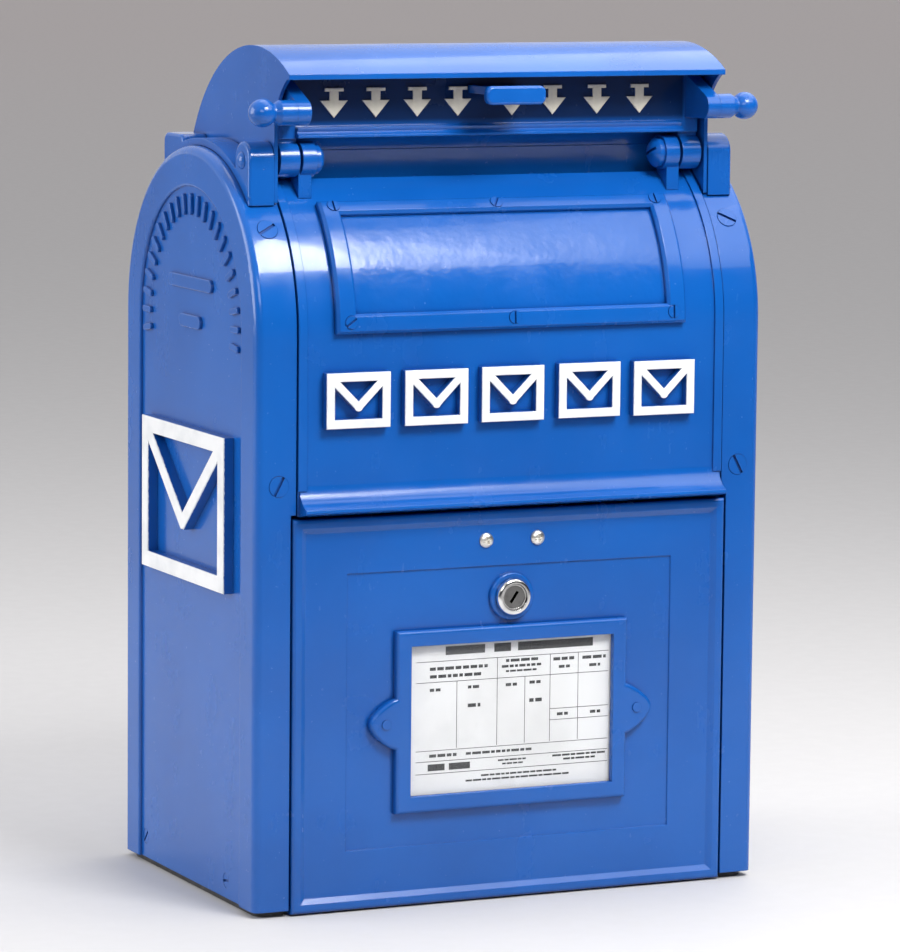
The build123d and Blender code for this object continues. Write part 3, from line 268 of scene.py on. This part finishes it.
def chrome(name="chrome_plate", light=1.0):
    """Bright plating with painted shade in its recesses; light under 1 darkens all of the plating.
    """
    t = Tree(name)
    wear = t.spread(t.noise(120.0, 4.0, 0.6), 0.45, 0.75)
    bright = (0.83 * light, 0.83 * light, 0.82 * light, 1)
    worn = (0.62 * light, 0.61 * light, 0.59 * light, 1)
    # painted shade: the plating turns near-black in its recesses, found by ambient occlusion
    recess_shade_mask = t.spread(t.occlusion_shade(PLATED_SHADE_REACH), 0.45, 0.9, 1.0, 0.0)
    t.link(t.mix(recess_shade_mask, t.mix(wear, bright, worn), RECESS_PAINTED_SHADE), "Base Color")
    t.link(t.spread(t.noise(240.0, 3.0), 0.3, 0.75, 0.07, 0.24), "Roughness")
    t.set(Metallic=1.0)
    t.bump([(t.noise(700.0, 2.0), 0.06, 0.08)], 0.25 * MM)
    return t.material


def metal(name, colour, shade, low, high, scale=80.0):
    """Bare or plated metal whose roughness wanders between low and high."""
    t = Tree(name)
    spangle = t.spread(t.cells(scale * 2.0), 0.1, 0.6)
    t.link(t.mix(t.spread(t.noise(scale, 4.0), 0.35, 0.7), colour, shade), "Base Color")
    t.link(t.spread(t.noise(scale * 1.7, 3.0), 0.3, 0.7, low, high), "Roughness")
    t.set(Metallic=1.0)
    t.bump([(spangle, 0.08, 0.1), (t.noise(500.0, 2.0), 0.1, 0.08)], 0.3 * MM)
    return t.material


def black_paint():
    t = Tree("black_base_paint")
    scuff = t.spread(t.noise(150.0, 5.0, 0.65), 0.55, 0.7)
    t.link(t.mix(scuff, (0.012, 0.012, 0.013, 1), (0.05, 0.048, 0.045, 1)), "Base Color")
    t.link(t.spread(t.noise(70.0, 3.0), 0.3, 0.7, 0.45, 0.7), "Roughness")
    t.bump([(t.noise(260.0, 3.0), 0.3, 0.2)], 0.4 * MM)
    return t.material


def paper():
    t = Tree("card_stock")
    fibre = t.noise(900.0, 4.0, 0.7)
    tone = t.spread(t.noise(14.0, 3.0), 0.35, 0.7)
    t.link(t.mix(tone, (0.73, 0.735, 0.74, 1), (0.67, 0.67, 0.67, 1)), "Base Color")
    t.link(t.spread(fibre, 0.3, 0.7, 0.65, 0.8), "Roughness")
    t.bump([(fibre, 0.15, 0.05), (t.noise(8.0, 2.0), 0.3, 0.6)])
    return t.material


def ink():
    t = Tree("printers_ink")
    fade = t.spread(t.noise(400.0, 4.0), 0.4, 0.75)
    t.link(t.mix(fade, (0.004, 0.004, 0.005, 1), (0.015, 0.015, 0.017, 1)), "Base Color")
    t.link(t.spread(t.noise(300.0, 2.0), 0.3, 0.7, 0.5, 0.7), "Roughness")
    t.bump([(t.noise(900.0, 2.0), 0.1, 0.02)])
    return t.material


def window():
    t = Tree("clear_window")
    smear = t.spread(t.noise(30.0, 4.0, 0.6), 0.4, 0.75)
    t.link(t.mix(smear, (0.90, 0.93, 0.94, 1), (0.82, 0.85, 0.87, 1)), "Base Color")
    t.link(t.spread(t.noise(55.0, 3.0), 0.35, 0.7, 0.03, 0.10), "Roughness")
    t.link(t.spread(smear, 0.0, 1.0, 0.03, 0.06), "Alpha")
    t.bump([(t.noise(25.0, 2.0), 0.15, 0.2)])
    return t.material


MATERIALS = {
    "blue": enamel("blue_enamel"),
    "blue_hardware": enamel("blue_enamel_on_fixings", peel=0.06, cast=0.2, edge=0.5),
    "label_plate": enamel("blue_enamel_on_plate", peel=0.3, cast=0.9, ripple=0.8),
    "black_base": black_paint(),
    "galvanised": metal("zinc_sheet", (0.55, 0.56, 0.57, 1), (0.40, 0.41, 0.42, 1), 0.3, 0.5),
    "bolt_bar": metal("milled_bar", (0.66, 0.67, 0.68, 1), (0.52, 0.53, 0.54, 1), 0.25, 0.4, 200.0),
    "zinc_fixings": metal("zinc_fixings_finish", (0.60, 0.60, 0.58, 1), (0.42, 0.42, 0.41, 1),
                          0.25, 0.45, 200.0),
    "chrome": chrome(),
    "brass": metal("turned_brass", (0.72, 0.53, 0.22, 1), (0.50, 0.35, 0.14, 1), 0.2, 0.4, 200.0),
    "card": paper(),
    "window": window(),
}
INK = ink()
SIGN_DEPTH = 6.5
SIDE_SIGN_DEPTH = 7.0
ARROW_DEPTH = 1.6
WHITE_FRONT = face_paint("white_sign_paint", (0.78, 0.79, 0.80, 1), (0.66, 0.68, 0.70, 1),
                         SIGN_DEPTH)
WHITE_SIDE = face_paint("white_side_sign_paint", (0.80, 0.81, 0.82, 1), (0.68, 0.70, 0.72, 1),
                        SIDE_SIGN_DEPTH)
CREAM = face_paint("cream_arrow_paint", (0.70, 0.66, 0.56, 1), (0.50, 0.47, 0.40, 1),
                   ARROW_DEPTH)

# the navy field fades in over each pair of heights, depths or distances from the middle (mm)
FIELD_BOTTOM = (498.5, 504.5)
FIELD_FACE = (-74.2, -75.2)
FIELD_END = (137.5, 140.5)


def flap_enamel():
    """The flap's enamel, with the field behind the arrows painted dark navy."""
    material = enamel("blue_enamel_on_flap")
    t = Tree(material=material)
    old = t.shader.inputs["Base Color"].links[0].from_socket
    above = t.spread(t.axis("Z"), FIELD_BOTTOM[0] * MM, FIELD_BOTTOM[1] * MM)
    front = t.spread(t.axis("Y"), FIELD_FACE[0] * MM, FIELD_FACE[1] * MM)
    left = t.spread(t.axis("X"), -FIELD_END[1] * MM, -FIELD_END[0] * MM)
    right = t.spread(t.axis("X"), FIELD_END[0] * MM, FIELD_END[1] * MM, 1.0, 0.0)
    field = t.math("MULTIPLY", t.math("MULTIPLY", above, front), t.math("MULTIPLY", left, right))
    t.link(t.mix(field, old, NAVY), "Base Color")
    return material


for part in frame["record"]["subparts"]:
    for slot in NODES[part["node"]].material_slots:
        slot.material = MATERIALS[part["material_slot"]]
SATIN_NICKEL = metal("satin_nickel_heads", (0.86, 0.84, 0.79, 1), (0.70, 0.67, 0.61, 1),
                     0.28, 0.4, 200.0)
# the lock plug's plating is darkened to about a third
OWN_MATERIALS = (("pull_down_flap", flap_enamel()), ("latch_screws", SATIN_NICKEL),
                 ("lock_plug", chrome("darkened_lock_plug", 0.32)))
for name, material in OWN_MATERIALS:
    for slot in NODES[name].material_slots:
        slot.material = material


# ---------------------------------------------------------------- relief shapes (mm)
ARC_STEPS = 8
BEVEL_SEGMENTS = 3


def rect(x0, y0, x1, y1):
    """Rectangle from one corner to the other, anticlockwise."""
    return [(x0, y0), (x1, y0), (x1, y1), (x0, y1)]


def arc(cx, cy, radius, start, end):
    """Points on a circle's arc, degrees anticlockwise from +X."""
    points = []
    for i in range(ARC_STEPS + 1):
        a = math.radians(start + (end - start) * i / ARC_STEPS)
        points.append((cx + radius * math.cos(a), cy + radius * math.sin(a)))
    return points


def capsule(x, y, length, width, turn=0.0):
    """Round-ended bar centred on (x, y), its length turned from +X by turn degrees."""
    radius, reach = width / 2, (length - width) / 2
    a = math.radians(turn)
    along = (reach * math.cos(a), reach * math.sin(a))
    return (arc(x + along[0], y + along[1], radius, turn - 90, turn + 90)
            + arc(x - along[0], y - along[1], radius, turn + 90, turn + 270))


def stroke(x0, y0, x1, y1, t):
    """Straight stroke of width t between two points."""
    length = math.hypot(x1 - x0, y1 - y0)
    nx, ny = -(y1 - y0) / length * t / 2, (x1 - x0) / length * t / 2
    return [(x0 - nx, y0 - ny), (x1 - nx, y1 - ny), (x1 + nx, y1 + ny), (x0 + nx, y0 + ny)]


def envelope(w, h, t):
    """Overlapping strokes of a plain envelope sign of width w, height h and stroke t."""
    fold = (w / 2, 0.36 * h)
    inset = 0.45 * t
    return [rect(0, 0, w, t), rect(0, h - t, w, h), rect(0, 0, t, h), rect(w - t, 0, w, h),
            stroke(inset, h - inset, fold[0] + 0.12 * t, fold[1], 0.9 * t),
            stroke(w - inset, h - inset, fold[0] - 0.12 * t, fold[1], 0.9 * t),
            capsule(fold[0], fold[1] + 0.02 * h, 1.05 * t, 0.98 * t)]


def down_arrow(w, h, t):
    """Overlapping shapes of an arrow that points down."""
    head = 0.58 * h
    return [rect((w - t) / 2, 0.5 * head, (w + t) / 2, h),
            rect((w - 2.1 * t) / 2, h - 0.12 * h, (w + 2.1 * t) / 2, h),
            [(w / 2, 0), (w, head), (0, head)]]


def new_object(name, bm):
    """Turns a finished bmesh into an object in the scene."""
    mesh = bpy.data.meshes.new(name)
    bm.to_mesh(mesh)
    bm.free()
    obj = bpy.data.objects.new(name, mesh)
    bpy.context.scene.collection.objects.link(obj)
    return obj


def union_mesh(name, shapes, depth, rounding):
    """Closed relief of height depth whose plan is the union of the shapes, all in mm."""
    verts, faces = [], []
    for shape in shapes:
        area = sum(a[0] * b[1] - b[0] * a[1] for a, b in zip(shape, shape[1:] + shape[:1]))
        points = shape if area > 0 else shape[::-1]
        start = len(verts)
        verts += [Vector(point) for point in points]
        faces.append(list(range(start, len(verts))))
    # output type 1 also fills the closed loops between strokes, and such faces have no source
    out_verts, _, out_faces, _, _, sources = delaunay_2d_cdt(verts, [], faces, 1, 1e-4)
    bm = bmesh.new()
    made = [bm.verts.new((v.x * MM, v.y * MM, 0.0)) for v in out_verts]
    for face, source in zip(out_faces, sources):
        if source:
            bm.faces.new([made[i] for i in face])
    bmesh.ops.delete(bm, geom=[v for v in bm.verts if not v.link_faces], context="VERTS")
    bmesh.ops.remove_doubles(bm, verts=bm.verts, dist=0.01 * MM)
    bmesh.ops.dissolve_limit(bm, angle_limit=math.radians(1.0), verts=bm.verts, edges=bm.edges)
    for face in bm.faces:
        if face.normal.z < 0:
            face.normal_flip()
    base = list(bm.faces)
    grown = bmesh.ops.extrude_face_region(bm, geom=base)
    top = [v for v in grown["geom"] if isinstance(v, bmesh.types.BMVert)]
    bmesh.ops.translate(bm, verts=top, vec=(0, 0, depth * MM))
    for face in base:
        face.normal_flip()
    top_set = set(top)
    rim = [e for e in bm.edges if e.verts[0] in top_set and e.verts[1] in top_set
           and len(e.link_faces) == 2
           and abs(e.link_faces[0].normal.z - e.link_faces[1].normal.z) > 0.5]
    bmesh.ops.recalc_face_normals(bm, faces=bm.faces)
    bmesh.ops.bevel(bm, geom=rim, offset=rounding * MM, segments=BEVEL_SEGMENTS,
                    profile=0.6, affect="EDGES", clamp_overlap=True)
    return new_object(name, bm)


def stand(obj, origin, right, up, body, material):
    """Stands a flat piece in the row frame, its own Z pointing out of the surface."""
    right, up = Vector(right), Vector(up)
    place = Matrix((right, up, right.cross(up))).transposed().to_4x4()
    place.translation = Vector(origin)
    obj.matrix_world = place
    obj.data.materials.append(material)
    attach(obj, body)


# the signs are let into the surface behind them by a hair
SIGN_SINK = 0.1
SIGN_ROUNDING = 0.9
UPRIGHT = (0, 0, 1)

# row of signs on the front shell
SHELL_FACE_Y = -113.0
FRONT_SIGNS = 5
FRONT_LEFT, FRONT_RIGHT = -133.1, 126.9
FRONT_SIGN_Z = 312.2
FRONT_SIGN_H = 35.3
FRONT_SIGN_W = 44.0
FRONT_STROKE = 5.6
FRONT_SCATTER = 0.4
FRONT_SEED = 4


def front_signs():
    """Row of painted envelope signs, set a little unevenly."""
    random.seed(FRONT_SEED)
    pitch = (FRONT_RIGHT - FRONT_LEFT - FRONT_SIGN_W) / (FRONT_SIGNS - 1)
    for i in range(FRONT_SIGNS):
        obj = union_mesh(f"front_sign_{i + 1}", envelope(FRONT_SIGN_W, FRONT_SIGN_H, FRONT_STROKE),
                         SIGN_DEPTH, SIGN_ROUNDING)
        x = FRONT_LEFT + i * pitch + random.uniform(-FRONT_SCATTER, FRONT_SCATTER)
        z = FRONT_SIGN_Z + random.uniform(-FRONT_SCATTER, FRONT_SCATTER)
        stand(obj, (x * MM, (SHELL_FACE_Y + SIGN_SINK) * MM, z * MM), (1, 0, 0), UPRIGHT,
              "box", WHITE_FRONT)


# sign and cast arch on each side
SIDE_FACE_X = 176.8
SIDE_SIGN_W = 142.0
SIDE_SIGN_H = 100.0
SIDE_SIGN_Z = 203.0
SIDE_STROKE = 10.5
ARCH_CENTRE_Z = 371.2
ARCH_RADIUS = 75.5
ARCH_BARS = 23
ARCH_FROM, ARCH_TO = -8.0, 188.0
ARCH_BAR_LENGTH = 14.0
ARCH_BAR_WIDTH = 4.2
# plain bars under the arch: height of the middle, length
PLAIN_BARS = ((396.0, 74.0), (371.0, 36.0))
PLAIN_BAR_HEIGHT = 8.5
CAST_RELIEF = 2.4
CAST_ROUNDING = 0.8


def side_signs(side, side_x):
    """Painted envelope sign, and bars cast along the arch in the enamel's own blue."""
    face = side_x * (SIDE_FACE_X - SIGN_SINK) * MM
    right = (0, side_x, 0)
    sign = union_mesh(f"{side}_sign", envelope(SIDE_SIGN_W, SIDE_SIGN_H, SIDE_STROKE),
                      SIDE_SIGN_DEPTH, SIGN_ROUNDING)
    stand(sign, (face, -side_x * SIDE_SIGN_W / 2 * MM, SIDE_SIGN_Z * MM), right, UPRIGHT,
          "box", WHITE_SIDE)
    bars = []
    for i in range(ARCH_BARS):
        degrees = ARCH_FROM + (ARCH_TO - ARCH_FROM) * i / (ARCH_BARS - 1)
        a = math.radians(degrees)
        bars.append(capsule(ARCH_RADIUS * math.cos(a), ARCH_RADIUS * math.sin(a),
                            ARCH_BAR_LENGTH, ARCH_BAR_WIDTH, degrees))
    for z, length in PLAIN_BARS:
        bars.append(capsule(0, z - ARCH_CENTRE_Z, length, PLAIN_BAR_HEIGHT))
    arch = union_mesh(f"{side}_cast_arch", bars, CAST_RELIEF, CAST_ROUNDING)
    stand(arch, (face, 0, ARCH_CENTRE_Z * MM), right, UPRIGHT, "box", MATERIALS["blue"])


# arrows on the flap
FLAP_ARROWS_X = (-111.0, -82.0, -53.0, -24.5, 14.0, 43.0, 75.0, 106.0)
FLAP_ARROW_Z = 505.2
FLAP_ARROW_H = 19.0
FLAP_ARROW_W = 19.0
FLAP_STROKE = 6.2
FLAP_FACE_Y = -75.0
ARROW_ROUNDING = 0.4


def flap_arrows():
    """Row of thin painted arrows on the flap, each set by its middle."""
    for i, x in enumerate(FLAP_ARROWS_X):
        obj = union_mesh(f"flap_arrow_{i + 1}", down_arrow(FLAP_ARROW_W, FLAP_ARROW_H, FLAP_STROKE),
                         ARROW_DEPTH, ARROW_ROUNDING)
        stand(obj, ((x - FLAP_ARROW_W / 2) * MM, FLAP_FACE_Y * MM, FLAP_ARROW_Z * MM),
              (1, 0, 0), UPRIGHT, "flap", CREAM)


# ---------------------------------------------------------------- printed card
CARD_FRONT_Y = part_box("card")[0][1] / MM
CARD_RULES_Z = (158.0, 144.5, 100.0, 93.0, 85.0)
CARD_LEFT, CARD_RIGHT = -66.5, 71.0
CARD_COLUMNS = ((-37.8, 144.5), (-9.1, 158.0), (10.7, 144.5), (28.8, 158.0), (49.0, 158.0))
CARD_SHORT_RULES_X = 28.8
CARD_SHORT_RULES_Z = (122.0, 114.7)
CARD_FOOT_Z = 100.8
RULE_W = 0.42
TITLE_BARS = ((-46.0, -18.0), (-11.5, 0.5), (5.5, 59.5))
TITLE_Z = (161.8, 167.4)
# lines of words as broken bars: left end, right end, height of the middle, bar height
CARD_LINES = (
    (-57, -16, 153.2, 2.1), (-57, -19, 148.2, 2.1),
    (-3, 20, 155.6, 1.9), (-6, 24, 151.9, 1.7), (-3, 19, 148.7, 1.3),
    (31, 46, 154.6, 2.1), (35, 43, 149.4, 1.9), (52, 69, 154.4, 2.1), (57, 65, 149.2, 1.9),
    (-57, -49, 139.5, 2.0), (-30, -22, 140.0, 2.0), (-3, 5, 139.8, 2.0), (14, 22, 140.4, 2.0),
    (-30, -21, 128.0, 2.4), (14, 23, 128.6, 2.4),
    (34, 42, 118.3, 2.0), (58, 66, 118.3, 2.0),
    (-57, -36, 96.6, 2.0), (-31, 16, 96.6, 1.7),
    (-8, 12, 90.6, 1.1), (-5, 10, 88.2, 1.1), (31, 70, 91.0, 1.3), (39, 62, 88.4, 1.3),
    (-20, 34, 81.6, 1.2), (-31, 44, 78.8, 1.2),
)
BOLD_LINE = ((-58, -46), (-43, -28))
BOLD_LINE_Z = (86.8, 91.2)
BAR_LENGTHS = (2.2, 6.5)
LAST_BAR = 1.0
INK_SINK = 0.02
INK_THICKNESS = 0.05
CARD_SEED = 11


def card_print():
    """Ruled table whose words are plain broken bars."""
    random.seed(CARD_SEED)
    bars = [rect(CARD_LEFT, z - RULE_W / 2, CARD_RIGHT, z + RULE_W / 2) for z in CARD_RULES_Z]
    bars += [rect(CARD_SHORT_RULES_X, z - RULE_W / 2, CARD_RIGHT, z + RULE_W / 2)
             for z in CARD_SHORT_RULES_Z]
    bars += [rect(x - RULE_W / 2, CARD_FOOT_Z, x + RULE_W / 2, top) for x, top in CARD_COLUMNS]
    bars += [rect(x0, TITLE_Z[0], x1, TITLE_Z[1]) for x0, x1 in TITLE_BARS]
    bars += [rect(x0, BOLD_LINE_Z[0], x1, BOLD_LINE_Z[1]) for x0, x1 in BOLD_LINE]
    for left, right, middle, height in CARD_LINES:
        x = left
        while x < right - LAST_BAR:
            end = min(right, x + random.uniform(*BAR_LENGTHS))
            bars.append(rect(x, middle - height / 2, end, middle + height / 2))
            x = end + 0.5 * height
    bm = bmesh.new()
    for bar in bars:
        back = [bm.verts.new((x * MM, (CARD_FRONT_Y + INK_SINK) * MM, z * MM)) for x, z in bar]
        front = [bm.verts.new((v.co.x, v.co.y - INK_THICKNESS * MM, v.co.z)) for v in back]
        bm.faces.new(front)
        bm.faces.new(back[::-1])
        for i in range(4):
            j = (i + 1) % 4
            bm.faces.new((back[i], back[j], front[j], front[i]))
    bmesh.ops.recalc_face_normals(bm, faces=bm.faces)
    obj = new_object("card_print", bm)
    obj.data.materials.append(INK)
    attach(obj, "door")


front_signs()
for side, side_x in (("left", -1), ("right", 1)):
    side_signs(side, side_x)
flap_arrows()
card_print()


# ---------------------------------------------------------------- floor and light
FLOOR_CENTRE = Vector((-0.2, 1.1, 0.0))
FLOOR_PALE = (0.555, 0.548, 0.55, 1)
# painted light: a dimmer, warmer floor far off, and painted shade on the floor in front
FLOOR_FAR_PAINTED_DIMMING = (0.55, 0.508, 0.503, 1)
FLOOR_FRONT_PAINTED_SHADE = (0.22, 0.21, 0.21, 1)
FLOOR_FALLOFF_DISTANCES = (1.0, 15.0)
FLOOR_FRONT_SHADE_DEPTHS = (-1.9, -0.6)
FLOOR_SIZE = 80.0
FLOOR_GAP = 0.3 * MM


def floor_material():
    """Pale sweep painted dimmer with distance from just behind the box, a painted fall-off of
    light, and painted dark in front of the box as shade.
    """
    t = Tree("studio_floor")
    shift = t.nodes.new("ShaderNodeVectorMath")
    shift.operation = "DISTANCE"
    shift.inputs[1].default_value = FLOOR_CENTRE
    t.links.new(t.coordinates, shift.inputs[0])
    # painted fall-off of light: the floor dims with distance from the centre behind the box
    fade = t.spread(shift.outputs["Value"], *FLOOR_FALLOFF_DISTANCES)
    # painted shade: the floor turns dark in front of the box
    front = t.spread(t.axis("Y"), *FLOOR_FRONT_SHADE_DEPTHS)
    speckle = t.spread(t.noise(60.0, 3.0), 0.3, 0.7, 0.55, 0.65)
    behind = t.mix(fade, FLOOR_PALE, FLOOR_FAR_PAINTED_DIMMING)
    t.link(t.mix(front, FLOOR_FRONT_PAINTED_SHADE, behind), "Base Color")
    t.link(speckle, "Roughness")
    t.set(Specular_IOR_Level=0.2)
    return t.material


def make_floor():
    height = CAD_BOX[0][2] - FLOOR_GAP
    bpy.ops.mesh.primitive_plane_add(size=FLOOR_SIZE, location=(0, 0, height))
    floor = bpy.context.object
    floor.name = "studio_floor"
    floor.data.materials.append(floor_material())


def softbox(name, place, aim, size, power):
    """Rectangular white lamp at place, turned to aim; power in watts."""
    data = bpy.data.lights.new(name, "AREA")
    data.shape = "RECTANGLE"
    data.size, data.size_y = size
    data.energy = power
    light = bpy.data.objects.new(name, data)
    light.location = place
    light.rotation_mode = "QUATERNION"
    light.rotation_quaternion = (Vector(aim) - Vector(place)).to_track_quat("-Z", "Y")
    bpy.context.scene.collection.objects.link(light)


WORLD_FRONT = (0.03, 0.035, 0.045, 1)
WORLD_BACK = (0.80, 0.79, 0.80, 1)
WORLD_STRENGTH = 0.97
WORLD_BRIGHT_SIDE = Vector((-0.25, 0.75, 0.6))
WORLD_RAMP = (0.35, 0.75)


def make_world():
    """Pale studio behind the box and above it, and a dim room in front."""
    world = bpy.data.worlds.new("studio")
    bpy.context.scene.world = world
    world.use_nodes = True
    nodes, links = world.node_tree.nodes, world.node_tree.links
    background = nodes["Background"]
    direction = nodes.new("ShaderNodeTexCoord")
    slope = nodes.new("ShaderNodeVectorMath")
    slope.operation = "DOT_PRODUCT"
    slope.inputs[1].default_value = WORLD_BRIGHT_SIDE.normalized()
    links.new(direction.outputs["Generated"], slope.inputs[0])
    ramp = nodes.new("ShaderNodeValToRGB")
    ramp.color_ramp.interpolation = "EASE"
    for element, place, colour in zip(ramp.color_ramp.elements, WORLD_RAMP,
                                      (WORLD_FRONT, WORLD_BACK)):
        element.position = place
        element.color = colour
    spread = nodes.new("ShaderNodeMapRange")
    spread.inputs["From Min"].default_value = -1.0
    spread.inputs["From Max"].default_value = 1.0
    links.new(slope.outputs["Value"], spread.inputs["Value"])
    links.new(spread.outputs["Result"], ramp.inputs["Fac"])
    links.new(ramp.outputs["Color"], background.inputs["Color"])
    background.inputs["Strength"].default_value = WORLD_STRENGTH


CENTRE = (0, 0, 0.3)
LABEL = (0, -0.1, 0.35)
FLOOR_BEHIND = (-0.3, 1.4, 0.0)
# name, place, aim, width and height, power
LAMPS = (
    ("key", (0.20, -1.1, 1.4), LABEL, (0.56, 0.5), 24),
    ("key_edge", (0.56, -1.1, 1.4), LABEL, (0.16, 0.5), 1.6),
    ("front_top", (0.95, -0.85, 1.45), LABEL, (0.9, 0.9), 7),
    ("overhead", (0.55, 0.2, 1.6), CENTRE, (1.3, 1.6), 12),
    ("sweep", (-0.4, 1.6, 2.2), FLOOR_BEHIND, (2.4, 2.0), 5),
    ("left_wall", (-2.6, 0.9, 1.0), CENTRE, (1.8, 1.6), 44),
    ("front_fill", (-1.3, -2.6, 1.5), CENTRE, (1.4, 0.8), 17),
)

make_camera()
make_floor()
make_world()
bpy.context.scene.view_settings.view_transform = "Standard"
for lamp in LAMPS:
    softbox(*lamp)
